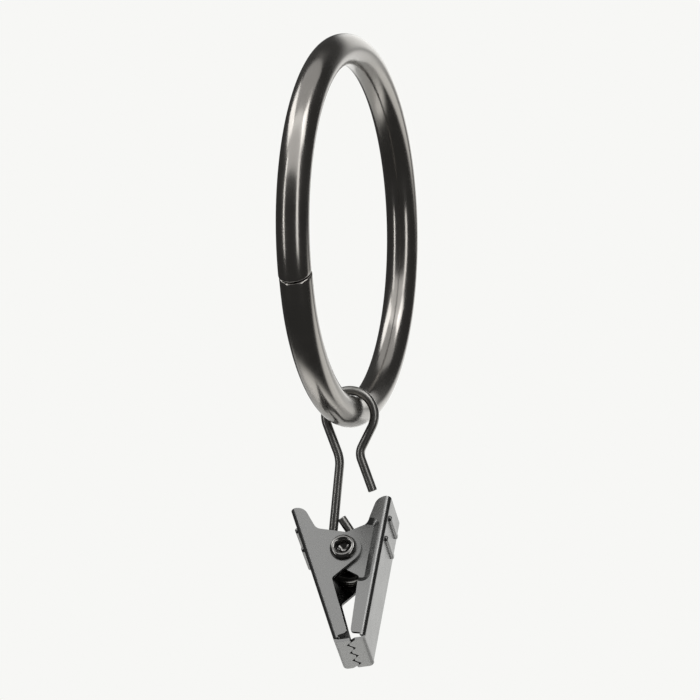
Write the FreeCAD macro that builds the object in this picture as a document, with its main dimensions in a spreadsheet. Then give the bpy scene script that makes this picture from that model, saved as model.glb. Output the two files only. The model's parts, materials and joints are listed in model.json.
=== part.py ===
import FreeCAD, Part
import math
import os
import re
import Sketcher
from FreeCAD import Placement, Rotation, Vector

# Curtain ring with clip: a steel ring, a bent wire hook hung on it, and a sprung two-jaw clip on the hook.
# X is the curtain rod's axis, Y points away from the viewer, Z is up, and the origin is the ring's centre.
# The jaws, spring and rivet are drawn about the rivet: Y along it, Z towards the thumb plates.

SIZES = [
    ("ring_bore", 50.8, "inside diameter of the ring"),
    ("ring_rod", 5.0, "diameter of the rod that the ring is bent from"),
    ("seam_angle", 16.2, "how far the ring's seam lies below its widest point, degrees"),
    ("seam_gap", 0.2, "open gap between the ring's two ends"),
    ("seam_round", 0.25, "rounding of the ring's two ends"),
    ("wire", 1.4, "diameter of the hook's wire"),
    ("loop_play", 0.65, "radial play of the hook's loop round the ring"),
    ("seat_gap", 0.05, "air between the loop and the ring where it hangs"),
    ("hook_drop", 23.2, "height of the ring's rod above the rivet"),
    ("hook_side", 0.25, "how far the rivet hangs to the left of the loop"),
    ("hook_turn", 6.2, "turn of the hook about the upright, degrees"),
    ("neck_gap", 1.86, "clear gap of the hook's neck under the loop"),
    ("tail_neck_rise", 16.7, "height above the rivet of the neck's bend on the tail's side"),
    ("leg_neck_rise", 15.15, "height above the rivet of the neck's bend on the leg's side"),
    ("neck_bend", 2.4, "bend radius at the neck on the tail's side"),
    ("leg_bend", 5.2, "bend radius at the neck on the leg's side"),
    ("bend_run", 0.5, "least straight wire between the loop and a neck's bend"),
    ("tail_rise", 10.95, "height of the tail's end above the rivet"),
    ("tail_side", 3.85, "how far right of the rivet the tail ends"),
    ("eye_radius", 2.8, "radius of the eye at the middle of the wire"),
    ("eye_end", 34.4, "angle round the eye where its curl ends, degrees"),
    ("stub_reach", 6.0, "straight end of the wire after the eye"),
    ("eye_shift", 0.05, "how far the eye rides off the middle of the rivet"),
    ("eye_gap", 0.08, "air between the eye and the rivet"),
    ("clip_tilt", 31.0, "dip of the rivet's far end, degrees"),
    ("clip_lean", 9.1, "lean of the clip's nose to the right, degrees"),
    ("sheet", 0.5, "thickness of the jaws' steel"),
    ("jaw_width", 9.2, "width of each jaw"),
    ("jaw_half_angle", 13.0, "angle between each jaw's back and the clip's middle, degrees"),
    ("back_offset", 5.85, "distance from the rivet's axis to a jaw's back"),
    ("thumb_length", 9.6, "jaw's length above the rivet"),
    ("nose_length", 15.2, "jaw's length below the rivet"),
    ("bend_outside", 0.8, "outside radius of the jaw's folds"),
    ("flange_depth", 2.3, "depth of the side flanges at the nose and the thumb end"),
    ("flange_flare", 0.4, "how much deeper the side flanges are beside the ear"),
    ("ear_radius", 2.75, "radius of the ear round the rivet"),
    ("ear_top", 4.4, "height of the ear's upper root above the rivet"),
    ("ear_bottom", 4.15, "depth of the ear's lower root below the rivet"),
    ("ear_top_round", 1.4, "inside radius at the ear's upper root"),
    ("ear_bottom_round", 0.6, "inside radius at the ear's lower root"),
    ("thumb_round", 1.9, "rounding of the thumb flange's end"),
    ("nose_notch", 0.95, "length of bare sheet between the nose flange and the nose"),
    ("nose_round", 0.5, "rounding of the nose flange's end"),
    ("nest_gap", 0.1, "air between an outer ear and the inner ear beside it"),
    ("press_margin", 0.95, "distance of the pressed panel from the jaw's back"),
    ("press_above", 1.15, "panel's reach above the ear's upper root"),
    ("press_below", 1.4, "panel's reach below the ear's lower root"),
    ("press_reach", 2.4, "panel's reach past the ear's free side"),
    ("press_slope", 32, "slope of the panel's edges against the sheet, degrees"),
    ("press_round", 1.3, "corner radius of the panel's outline"),
    ("cut_spare", 0.8, "how far a cutting outline reaches past the sheet"),
    ("lip_trim", 0.3, "how far the toothed lip is narrower than the jaw, each side"),
    ("lip_round", 0.28, "rounding of the lip's free corners"),
    ("teeth", 3.5, "teeth across the lip"),
    ("tooth_depth", 1.1, "depth of the teeth"),
    ("tooth_flat", 0.28, "height cut off each tooth's point"),
    ("teeth_gap", 0.2, "air between the two rows of teeth"),
    ("teeth_shift", 0.08, "how far each row of teeth is moved along the lip"),
    ("rib_length", 6.4, "length of a thumb rib"),
    ("rib_width", 0.95, "width of a thumb rib"),
    ("rib_rise", 0.4, "height of a thumb rib"),
    ("rib_round", 0.3, "rounding of a rib's crest"),
    ("groove_width", 0.55, "width of the groove behind a rib"),
    ("groove_depth", 0.3, "depth of the groove behind a rib"),
    ("rib_first", 3.0, "distance from the thumb end to the first rib"),
    ("rib_pitch", 3.55, "distance between two ribs"),
    ("rib_count", 2, "ribs on each thumb plate"),
    ("rivet_shank", 2.8, "diameter of the rivet's shank"),
    ("rivet_play", 0.05, "radial play of the rivet in the jaws"),
    ("head_diameter", 4.1, "diameter of the rivet's domed head"),
    ("head_rise", 1.15, "height of the domed head"),
    ("head_rim", 0.15, "upright rim under the dome"),
    ("curl_diameter", 4.25, "diameter of the rivet's rolled end"),
    ("curl_rise", 0.85, "height of the rolled end"),
    ("curl_round", 0.4, "rounding of the rolled end"),
    ("rivet_bore", 2.0, "diameter of the rivet's hollow end"),
    ("bore_depth", 1.25, "depth of the rivet's hollow end"),
    ("drill_angle", 59, "half angle of the hollow's pointed bottom, degrees"),
    ("spring_share", 0.44, "share of the room beside the eye that the spring's wire takes"),
    ("spring_play", 0.1, "air between the spring and the inner ear"),
    ("spring_radius", 2.35, "radius of the spring's coil at the middle of the wire"),
    ("spring_turns", 1, "whole turns of the spring"),
    ("coil_gap", 0.05, "air between the spring's turns"),
    ("spring_leg_rise", 7.0, "height of the spring's leg ends above the rivet"),
    ("spring_leg_gap", 0.05, "air between a spring leg and the thumb plate it pushes"),
]

X_AXIS, Y_AXIS, Z_AXIS = Vector(1, 0, 0), Vector(0, 1, 0), Vector(0, 0, 1)
NEAR = 1e-4

doc = FreeCAD.newDocument("CurtainRingClip")
sheet = doc.addObject("Spreadsheet::Sheet", "Sizes")
for row, (alias, size, note) in enumerate(SIZES, start=1):
    sheet.set(f"A{row}", note)
    sheet.set(f"B{row}", str(size))
    sheet.setAlias(f"B{row}", alias)
doc.recompute()
ALIASES = re.compile(r"\b(" + "|".join(alias for alias, _, _ in SIZES) + r")\b")


def cell(text):
    """Turn a formula in plain size names into one that an object's property can hold."""
    return ALIASES.sub(r"Sizes.\1", str(text))


def value(text):
    """Work out a formula in plain size names."""
    return float(sheet.evalExpression(cell(text)))


# Sizes that follow from the ones above, as formulas
RING_RADIUS = "(ring_bore / 2 + ring_rod / 2)"
LOOP_RADIUS = "(ring_rod / 2 + loop_play + wire / 2)"
LOOP_RISE = "(hook_drop - loop_play + seat_gap)"
NECK_HALF = "(neck_gap / 2 + wire / 2)"
EYE_RISE = "(eye_radius - (rivet_shank / 2 + wire / 2 + eye_gap) / cos(clip_tilt))"
PRESS_DEPTH = "(sheet + nest_gap)"
LIP_LENGTH = "(back_offset * cos(jaw_half_angle) - nose_length * sin(jaw_half_angle))"
HOLE_RADIUS = "(rivet_shank / 2 + rivet_play)"
SEAM_HALF_ANGLE = f"(seam_gap / 2 / {RING_RADIUS} * 180 / pi)"
LIP_TURN = "(90 - jaw_half_angle)"
FOLD_SETBACK = f"(bend_outside * tan({LIP_TURN} / 2))"
BACK_INSIDE = "(back_offset - sheet)"
EAR_INSIDE = "(jaw_width / 2 - 2 * sheet - nest_gap)"
EYE_REACH = "(eye_radius * sin(clip_tilt) + wire / 2)"
SPRING_WIRE = f"(spring_share * ({EAR_INSIDE} - {EYE_REACH}))"
SPRING_SIDE = f"({EAR_INSIDE} - spring_play - {SPRING_WIRE} / 2)"
DRILL_RISE = "(rivet_bore / 2 / tan(drill_angle))"


def bind(obj, prop, formula):
    """Tie one property of an object to a formula in size names."""
    obj.setExpression(prop, cell(formula))


def new_body(name):
    body = doc.addObject("PartDesign::Body", name)
    body.Label = name
    return body


def new_sketch(body, name, role, offset=None, turn=None):
    """Put a sketch on one of the body's own planes, moved along and turned in that plane's axes."""
    sketch = body.newObject("Sketcher::SketchObject", name)
    plane = next(item for item in body.Origin.OriginFeatures if item.Role == role)
    sketch.AttachmentSupport = [(plane, "")]
    sketch.MapMode = "FlatFace"
    axis, angle = turn or (Z_AXIS, "0")
    sketch.AttachmentOffset = Placement(Vector(), Rotation(axis, value(angle)))
    if turn:
        bind(sketch, "AttachmentOffset.Rotation.Angle", angle)
    for direction, formula in zip("xyz", offset or ()):
        bind(sketch, f"AttachmentOffset.Base.{direction}", formula)
    return sketch


def pin_point(sketch, line, end, across, up):
    """Hold one end of a line at two formulas measured from the sketch's origin."""
    for kind, formula in (("DistanceX", across), ("DistanceY", up)):
        index = sketch.addConstraint(Sketcher.Constraint(kind, -1, 1, line, end, value(formula)))
        bind(sketch, f"Constraints[{index}]", formula)


def draw_circle(sketch, across, up, radius):
    circle = sketch.addGeometry(Part.Circle(Vector(value(across), value(up), 0), Z_AXIS,
                                            value(radius)))
    pin_point(sketch, circle, 3, across, up)
    index = sketch.addConstraint(Sketcher.Constraint("Radius", circle, value(radius)))
    bind(sketch, f"Constraints[{index}]", radius)
    return circle


def tangent_line(first, second):
    """End points of the line that leaves one circle and runs into the next without a kink.

    A circle is (centre, radius), and its radius is positive where the path turns left round it,
    negative where it turns right and zero where the path starts or ends.
    """
    between = second[0] - first[0]
    heading = math.atan2(between.y, between.x) + math.asin((first[1] - second[1]) / between.Length)
    outward = Vector(math.sin(heading), -math.cos(heading), 0)
    return first[0] + outward * first[1], second[0] + outward * second[1]


def draw_path(sketch, stops, closed=False):
    """Draw straight lines joined by tangent arcs, and pin every arc's centre and radius.

    Each stop is (across, up, radius) in formulas. A leading minus turns right, zero is a sharp corner.
    """
    circles = [(Vector(value(across), value(up), 0), value(radius)) for across, up, radius in stops]
    count = len(stops)
    ends = list(zip(circles, circles[1:] + (circles[:1] if closed else [])))
    spans = [tangent_line(first, second) for first, second in ends]
    lines = [sketch.addGeometry(Part.LineSegment(start, end)) for start, end in spans]
    for index, (across, up, radius) in enumerate(stops):
        first, last = not closed and index == 0, not closed and index == count - 1
        before, after = (index - 1) % count, index
        if first or last:
            pin_point(sketch, lines[after if first else before], 1 if first else 2, across, up)
            continue
        centre, bend = circles[index]
        if bend == 0:
            sketch.addConstraint(Sketcher.Constraint("Coincident", lines[before], 2, lines[after], 1))
            pin_point(sketch, lines[after], 1, across, up)
            continue
        arrive, leave = spans[before][1] - centre, spans[after][0] - centre
        start, end = (arrive, leave) if bend > 0 else (leave, arrive)
        from_angle, to_angle = math.atan2(start.y, start.x), math.atan2(end.y, end.x)
        if to_angle <= from_angle:
            to_angle += 2 * math.pi
        arc = sketch.addGeometry(Part.ArcOfCircle(Part.Circle(centre, Z_AXIS, abs(bend)),
                                                  from_angle, to_angle))
        arrive_end, leave_end = (1, 2) if bend > 0 else (2, 1)
        sketch.addConstraint(Sketcher.Constraint("Tangent", lines[before], 2, arc, arrive_end))
        sketch.addConstraint(Sketcher.Constraint("Tangent", lines[after], 1, arc, leave_end))
        pin_point(sketch, arc, 3, across, up)
        row = sketch.addConstraint(Sketcher.Constraint("Radius", arc, abs(bend)))
        bind(sketch, f"Constraints[{row}]", radius.lstrip("-"))
    return lines


def add_feature(body, kind, name, profile, **formulas):
    """Add a pad, pocket or turned feature and tie its named properties to formulas."""
    feature = body.newObject(f"PartDesign::{kind}", name)
    feature.Profile = profile
    for prop, formula in formulas.items():
        bind(feature, prop, formula)
    return feature


def check_volume(body, before, grows):
    """Stop if a feature pointed the wrong way and added or cut nothing."""
    doc.recompute()
    after = body.Shape.Volume
    if (after <= before) if grows else (after >= before):
        raise RuntimeError(f"{body.Label}: {body.Tip.Name} changed the volume from {before} to {after}")
    return after


def round_edges(body, name, radius, chosen):
    """Round the edges of the tip feature that the test picks out."""
    doc.recompute()
    base = body.Tip
    names = [f"Edge{number}" for number, edge in enumerate(base.Shape.Edges, start=1) if chosen(edge)]
    if not names:
        raise RuntimeError(f"{body.Label}: no edge to round for {name}")
    fillet = body.newObject("PartDesign::Fillet", name)
    fillet.Base = (base, names)
    bind(fillet, "Radius", radius)
    doc.recompute()
    return fillet


def edge_along(edge, axis, **places):
    """Whether a straight edge runs along an axis at the named coordinates."""
    if edge.Curve.TypeId != "Part::GeomLine":
        return False
    start, end = edge.Vertexes[0].Point, edge.Vertexes[-1].Point
    if (end - start).normalize().cross(axis).Length > NEAR:
        return False
    return all(abs(getattr(start, name) - wanted) < NEAR for name, wanted in places.items())


# The ring: a round rod bent once round the curtain rod, its two ends nearly touching at the seam
def make_ring():
    body = new_body("ring")
    section = new_sketch(body, "rod_section", "XY_Plane", turn=(X_AXIS, f"seam_angle + {SEAM_HALF_ANGLE}"))
    draw_circle(section, "0", f"-{RING_RADIUS}", "ring_rod / 2")
    rod = add_feature(body, "Revolution", "bent_rod", section, Angle=f"360 - 2 * {SEAM_HALF_ANGLE}")
    rod.ReferenceAxis = (section, ["H_Axis"])
    rod_radius = value("ring_rod / 2")
    round_edges(body, "eased_ends", "seam_round",
                lambda edge: edge.Curve.TypeId == "Part::GeomCircle"
                and abs(edge.Curve.Radius - rod_radius) < NEAR and abs(edge.Curve.Axis.x) < NEAR)
    return body


def bend_in_room(bend, rise):
    """A neck's bend radius, limited where the bend stands too close under the loop for it."""
    room = (f"(({NECK_HALF}^2 + ({LOOP_RISE} - {rise})^2 - {LOOP_RADIUS}^2 - bend_run^2)"
            f" / (2 * ({LOOP_RADIUS} - {NECK_HALF})))")
    return f"min({bend}; {room})"


# The hook: one wire in one plane, from its tail over the loop and down the leg to the eye and its stub
def make_hook():
    body = new_body("hook")
    line = new_sketch(body, "wire_line", "XZ_Plane")
    tail_bend = bend_in_room("neck_bend", "tail_neck_rise")
    leg_bend = bend_in_room("leg_bend", "leg_neck_rise")
    draw_path(line, [
        ("tail_side", "tail_rise", "0"),
        (f"hook_side + {NECK_HALF} + {tail_bend}", "tail_neck_rise", f"-{tail_bend}"),
        ("hook_side", LOOP_RISE, LOOP_RADIUS),
        (f"hook_side - {NECK_HALF} - {leg_bend}", "leg_neck_rise", f"-{leg_bend}"),
        ("0", EYE_RISE, "eye_radius"),
        ("eye_radius * cos(eye_end) - stub_reach * sin(eye_end)",
         f"{EYE_RISE} + eye_radius * sin(eye_end) + stub_reach * cos(eye_end)", "0"),
    ])
    section = body.newObject("Sketcher::SketchObject", "wire_section")
    section.AttachmentSupport = [(line, "Edge1")]
    section.MapMode = "NormalToEdge"
    draw_circle(section, "0", "0", "wire / 2")
    wire = add_feature(body, "AdditivePipe", "bent_wire", section)
    wire.Spine = (line, [f"Edge{number}" for number in range(1, line.GeometryCount + 1)])
    wire.Transition = "Transformed"
    return body


# One jaw, drawn with its back at +X: a folded channel with two ears, a toothed lip and two thumb ribs.
# A nested jaw has its ears pressed inwards, so that they lie between the other jaw's ears.
def make_jaw(name, nested):
    body = new_body(name)
    fold_z = f"-(nose_length - {FOLD_SETBACK})"
    flange_x = "(back_offset - flange_depth)"

    channel = new_sketch(body, "channel_section", "XY_Plane", offset=("0", "0", fold_z))
    half, inside, free_x = "jaw_width / 2", "(jaw_width / 2 - sheet)", "-(ear_radius + cut_spare)"
    draw_path(channel, [(across, up, "0") for across, up in (
        ("back_offset", f"-{half}"), ("back_offset", half), (free_x, half), (free_x, inside),
        (BACK_INSIDE, inside), (BACK_INSIDE, f"-{inside}"), (free_x, f"-{inside}"), (free_x, f"-{half}"))],
        closed=True)
    add_feature(body, "Pad", "channel", channel, Length=f"thumb_length + cut_spare - {fold_z}")
    back_x, inner_x = value("back_offset"), value(BACK_INSIDE)
    round_edges(body, "outer_folds", "bend_outside", lambda edge: edge_along(edge, Z_AXIS, x=back_x))
    round_edges(body, "inner_folds", "bend_outside - sheet",
                lambda edge: edge_along(edge, Z_AXIS, x=inner_x))

    if nested:
        press_ears(body)

    outline = new_sketch(body, "side_outline", "XZ_Plane")
    notch_z = "-(nose_length - nose_notch)"
    far_x, far_z = "-(ear_radius + press_reach + 2 * cut_spare)", "(thumb_length + 2 * cut_spare)"
    draw_path(outline, [
        ("back_offset + cut_spare", "thumb_length", "0"),
        (f"{flange_x} + thumb_round", "thumb_length - thumb_round", "thumb_round"),
        (f"{flange_x} - flange_flare - ear_top_round", "ear_top + ear_top_round", "-ear_top_round"),
        ("0", "0", "ear_radius"),
        (f"{flange_x} - flange_flare - ear_bottom_round", "-(ear_bottom + ear_bottom_round)",
         "-ear_bottom_round"),
        (f"{flange_x} + nose_round", f"{notch_z} + nose_round", "nose_round"),
        ("back_offset - bend_outside", notch_z, "0"),
        ("back_offset - bend_outside", "-(nose_length + cut_spare)", "0"),
        (far_x, "-(nose_length + cut_spare)", "0"),
        (far_x, far_z, "0"),
        ("back_offset + cut_spare", far_z, "0"),
    ], closed=True)
    cut_through(body, "side_cut", outline)

    hole = new_sketch(body, "rivet_circle", "XZ_Plane")
    draw_circle(hole, "0", "0", HOLE_RADIUS)
    cut_through(body, "rivet_hole", hole)

    add_lip(body, fold_z)
    add_ribs(body)
    return body


def cut_through(body, name, outline):
    """Cut an outline on the body's middle plane through both side flanges."""
    doc.recompute()
    before = body.Shape.Volume
    cut = add_feature(body, "Pocket", name, outline, Length="2 * jaw_width")
    cut.Midplane = True
    check_volume(body, before, grows=False)


def press_ears(body):
    """Press both ears inwards: a sloped boss inside, the sloped recess outside it, and their mirror."""
    pressed = []
    for inward in (True, False):
        margin = "sheet * tan(press_slope / 2)" if inward else "0"
        right = f"back_offset - press_margin + {margin}"
        left = f"-(ear_radius + press_reach + {margin})"
        top = f"ear_top + press_above + {margin}"
        bottom = f"-(ear_bottom + press_below + {margin})"
        depth = "(jaw_width / 2 - sheet)" if inward else "(jaw_width / 2)"
        kind = "boss" if inward else "recess"
        panel = new_sketch(body, f"{kind}_panel", "XZ_Plane", offset=("0", "0", depth))
        round_x, corner = f"{right} - press_round - {margin}", f"(press_round + {margin})"
        draw_path(panel, [(round_x, f"{bottom} + {corner}", corner), (round_x, f"{top} - {corner}", corner),
                          (left, top, "0"), (left, bottom, "0")], closed=True)
        doc.recompute()
        before = body.Shape.Volume
        feature = add_feature(body, "Pad" if inward else "Pocket", f"ear_{kind}", panel, Length=PRESS_DEPTH)
        bind(feature, "TaperAngle", "-(90 - press_slope)")
        feature.Reversed = inward
        before = check_volume(body, before, grows=inward)
        pressed.append(feature)
    mirror = body.newObject("PartDesign::Mirrored", "far_ear")
    mirror.Originals = pressed
    plane = next(item for item in body.Origin.OriginFeatures if item.Role == "XZ_Plane")
    mirror.MirrorPlane = (plane, [""])
    body.Tip = mirror
    doc.recompute()


def add_lip(body, fold_z):
    """Fold the nose inwards and end it in a row of teeth that lies square to the clip's middle."""
    lip_half = "(jaw_width / 2 - lip_trim)"
    bend = new_sketch(body, "fold_section", "XY_Plane", offset=("back_offset - bend_outside", "0", fold_z))
    draw_path(bend, [("bend_outside", f"-{lip_half}", "0"), ("bend_outside", lip_half, "0"),
                     ("bend_outside - sheet", lip_half, "0"), ("bend_outside - sheet", f"-{lip_half}", "0")],
              closed=True)
    fold = add_feature(body, "Revolution", "nose_fold", bend, Angle=LIP_TURN)
    fold.ReferenceAxis = (bend, ["V_Axis"])
    doc.recompute()

    plate = new_sketch(body, "lip_outline", "XY_Plane", turn=(Y_AXIS, "-jaw_half_angle"),
                       offset=("back_offset - bend_outside + bend_outside * sin(jaw_half_angle)", "0",
                               f"{fold_z} - bend_outside * cos(jaw_half_angle)"))
    edge_x = f"({FOLD_SETBACK} - {LIP_LENGTH} + teeth_gap / 2)"
    pitch = f"(2 * {lip_half} / teeth)"
    flat_half = f"(tooth_flat * {pitch} / tooth_depth / 2)"
    tip_x, root_x = f"({edge_x} - tooth_depth / 2)", f"({edge_x} + tooth_depth / 2)"
    stops = [("0", f"-{lip_half}", "0"), ("0", lip_half, "0"),
             (f"{tip_x} + tooth_flat + lip_round", f"{lip_half} - lip_round", "lip_round")]
    inner_marks = int(value("teeth")) - 1
    for mark in range(inner_marks, -inner_marks - 2, -1):
        middle = f"({mark} / 2 + 1 / 4) * {pitch} - teeth_shift"
        if mark % 2:
            stops += [(f"{tip_x} + tooth_flat", f"{middle} + {flat_half}", "0"),
                      (f"{tip_x} + tooth_flat", f"{middle} - {flat_half}", "0")]
        else:
            stops.append((root_x, middle, "0"))
    stops.append((f"{root_x} + lip_round", f"-{lip_half} + lip_round", "lip_round"))
    draw_path(plate, stops, closed=True)
    before = body.Shape.Volume
    add_feature(body, "Pad", "toothed_lip", plate, Length="sheet")
    check_volume(body, before, grows=True)


def add_ribs(body):
    """Raise two grip ribs on the thumb plate, each with its pressed groove behind."""
    for kind, level, width, depth in (("Pad", "back_offset", "rib_width", "rib_rise"),
                                      ("Pocket", BACK_INSIDE, "groove_width", "groove_depth")):
        label = "ribs" if kind == "Pad" else "grooves"
        sketch = new_sketch(body, f"{label}_outline", "YZ_Plane", offset=("0", "0", level))
        for number in range(int(value("rib_count"))):
            up = f"thumb_length - rib_first - {number} * rib_pitch"
            reach = "(rib_length - rib_width) / 2"
            draw_path(sketch, [(f"-{reach}", up, f"{width} / 2"), (reach, up, f"{width} / 2")], closed=True)
        doc.recompute()
        before = body.Shape.Volume
        feature = add_feature(body, kind, label, sketch, Length=depth)
        feature.Reversed = kind == "Pocket"
        check_volume(body, before, grows=kind == "Pad")
        if kind == "Pad":
            crest = value("back_offset + rib_rise")
            round_edges(body, "rib_crests", "rib_round",
                        lambda edge: all(abs(vertex.X - crest) < NEAR for vertex in edge.Vertexes))


# The rivet: a turned pin with a domed head on the far side and a hollow end rolled over on the near side
def make_rivet():
    body = new_body("rivet")
    profile = new_sketch(body, "turned_profile", "XY_Plane")
    near, far = "-jaw_width / 2", "jaw_width / 2"
    shank, bore, curl, head = "rivet_shank / 2", "rivet_bore / 2", "curl_diameter / 2", "head_diameter / 2"
    bottom = "(-jaw_width / 2 - curl_rise)"
    lines = draw_path(profile, [
        ("0", f"{bottom} + bore_depth + {DRILL_RISE}", "0"),
        (bore, f"{bottom} + bore_depth", "0"),
        (f"{bore} + curl_round", f"{bottom} + curl_round", "curl_round"),
        (f"{curl} - curl_round", f"{bottom} + curl_round", "curl_round"),
        (curl, near, "0"),
        (shank, near, "0"),
        (shank, far, "0"),
        (head, far, "0"),
        (head, f"{far} + head_rim", "0"),
    ])
    rise = "(head_rise - head_rim)"
    centre_y = f"{far} + head_rise - (({head})^2 + {rise}^2) / (2 * {rise})"
    centre, start = Vector(0, value(centre_y), 0), Vector(value(head), value(f"{far} + head_rim"), 0)
    dome = profile.addGeometry(Part.ArcOfCircle(Part.Circle(centre, Z_AXIS, (start - centre).Length),
                                                math.atan2(start.y - centre.y, start.x), math.pi / 2))
    axis = profile.addGeometry(Part.LineSegment(Vector(0, value(f"{far} + head_rise"), 0),
                                                Vector(0, value(f"{bottom} + bore_depth + {DRILL_RISE}"), 0)))
    for first, first_end, second, second_end in ((lines[-1], 2, dome, 1), (dome, 2, axis, 1),
                                                 (axis, 2, lines[0], 1)):
        profile.addConstraint(Sketcher.Constraint("Coincident", first, first_end, second, second_end))
    pin_point(profile, dome, 3, "0", centre_y)
    profile.addConstraint(Sketcher.Constraint("PointOnObject", axis, 1, -2))
    turned = add_feature(body, "Revolution", "turned_pin", profile)
    turned.Angle = 360
    turned.ReferenceAxis = (profile, ["V_Axis"])
    return body


# The spring: a coil round the rivet's far half whose two legs push the thumb plates apart
def make_spring():
    radius, pitch = value("spring_radius"), value(f"{SPRING_WIRE} + coil_gap")
    half_wire, side = value(f"{SPRING_WIRE} / 2"), value(SPRING_SIDE)
    leg_end = Rotation(Z_AXIS, -value("jaw_half_angle")).multVec(
        Vector(value(f"{BACK_INSIDE} - spring_leg_gap") - half_wire, value("spring_leg_rise"), 0))
    coil = (Vector(), radius)
    _, arrive = tangent_line((Vector(-leg_end.x, leg_end.y, 0), 0), coil)
    leave, _ = tangent_line(coil, (leg_end, 0))
    first_angle = math.degrees(math.atan2(arrive.y, arrive.x))
    last_angle = math.degrees(math.atan2(leave.y, leave.x))
    sweep = (last_angle - first_angle) % 360 + 360 * value("spring_turns")
    slope = pitch / (2 * math.pi * radius)

    helix = Part.makeHelix(pitch, pitch * sweep / 360, radius)
    helix.Placement = Placement(Vector(0, side, 0),
                                Rotation(X_AXIS, 90) * Rotation(Z_AXIS, first_angle))
    start = Vector(arrive.x, side, arrive.y)
    end = Vector(leave.x, side - pitch * sweep / 360, leave.y)
    leg = math.sqrt(leg_end.Length ** 2 - radius ** 2)
    along = Vector(-math.sin(math.radians(first_angle)), -slope, math.cos(math.radians(first_angle)))
    away = Vector(-math.sin(math.radians(last_angle)), -slope, math.cos(math.radians(last_angle)))
    spine = Part.Wire([Part.makeLine(start - along * leg, start), *helix.Edges,
                       Part.makeLine(end, end + away * leg)])
    section = Part.Wire(Part.makeCircle(half_wire, start - along * leg, along))
    pipe = Part.BRepOffsetAPI.MakePipeShell(spine)
    pipe.setBiNormalMode(Y_AXIS)
    pipe.add(section)
    pipe.build()
    pipe.makeSolid()
    spring = doc.addObject("Part::Feature", "spring")
    spring.Label = "spring"
    spring.Shape = pipe.shape()
    return spring


def place_parts(ring, hook, outer_jaw, inner_jaw, rivet, spring):
    """Hang the hook on the ring and the closed clip on the hook."""
    ring.Placement = Placement()
    hook_place = (Placement(Vector(0, 0, -value(RING_RADIUS)), Rotation(Z_AXIS, value("hook_turn")))
                  * Placement(Vector(-value("hook_side"), 0, -value("hook_drop")), Rotation()))
    clip_place = (hook_place * Placement(Vector(), Rotation(X_AXIS, -value("clip_tilt")))
                  * Placement(Vector(0, value("eye_shift"), 0), Rotation(Y_AXIS, -value("clip_lean"))))
    half_angle = value("jaw_half_angle")
    hook.Placement = hook_place
    rivet.Placement = clip_place
    spring.Placement = clip_place
    inner_jaw.Placement = clip_place * Placement(Vector(), Rotation(Y_AXIS, half_angle))
    outer_jaw.Placement = (clip_place * Placement(Vector(), Rotation(Y_AXIS, -half_angle))
                           * Placement(Vector(), Rotation(Z_AXIS, 180)))


def check_document(parts):
    """Stop if any object failed or any part isn't one sound solid."""
    doc.recompute()
    for obj in doc.Objects:
        if "Invalid" in obj.State or "Error" in obj.State:
            raise RuntimeError(f"{obj.Name} is {obj.State}")
    for part in parts:
        if part.Shape.isNull() or not part.Shape.isValid() or len(part.Shape.Solids) != 1:
            raise RuntimeError(f"{part.Label} isn't one sound solid")


made = [make_ring(), make_hook(), make_jaw("outer_jaw", nested=False), make_jaw("inner_jaw", nested=True),
        make_rivet(), make_spring()]
place_parts(*made)
check_document(made)
os.makedirs("parts", exist_ok=True)
for part in made:
    part.Shape.exportStep(f"parts/{part.Label}.step")
    print(part.Label, round(part.Shape.Volume, 3), "mm3")
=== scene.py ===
"""Looks of a curtain ring with clip: the steel ring, the wire hook hung on it and the sprung jaws below.

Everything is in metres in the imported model's own frame: X along the curtain rod, Y away from the viewer,
Z up and the origin in the middle of the ring. Sizes are given in millimetres and turned to metres once.
"""

import json
import logging
import math
from dataclasses import dataclass, field
from enum import Enum
from typing import Callable, Optional, Sequence

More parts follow.
